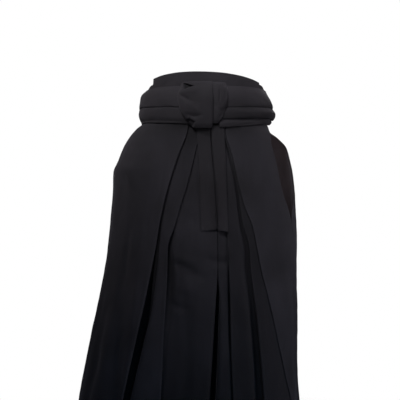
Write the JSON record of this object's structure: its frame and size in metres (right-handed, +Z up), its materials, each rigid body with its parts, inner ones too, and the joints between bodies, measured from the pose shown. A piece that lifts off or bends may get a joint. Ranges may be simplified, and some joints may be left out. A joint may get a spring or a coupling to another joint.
{
  "type": "hakama trousers, worn form",
  "caption": "Black pleated, divided hakama trousers in their worn, hollow form, with side slits, a stiff back board, and long straps wound round the waist and tied in front.",
  "frame": {"origin": "middle of the waist opening, level with the seam under the front waistband", "axes": "+Z up, the front of the garment faces -Y, the wearer's right is -X"},
  "size_m": [0.636, 0.4094, 1.0323],
  "materials": {
    "black cloth": "matt, closely woven black cloth with a faint sheen",
    "black tape": "the same black cloth folded and stitched into flat straps"
  },
  "bodies": {
    "root": {"front_panel_right": "black cloth", "front_panel_left": "black cloth", "back_panel_right": "black cloth", "back_panel_left": "black cloth", "gusset_right": "black cloth", "gusset_left": "black cloth", "front_waistband": "black cloth", "back_board": "black cloth", "front_strap_right_upper": "black tape", "front_strap_left_upper": "black tape", "front_strap_right_lower": "black tape", "front_strap_left_lower": "black tape", "front_strap_left_crossing": "black tape", "back_strap_right": "black tape", "back_strap_left": "black tape", "knot_wrap": "black tape", "knot_loop": "black tape", "knot_tail_right": "black tape", "knot_tail_left": "black tape"}
  },
  "joints": []
}
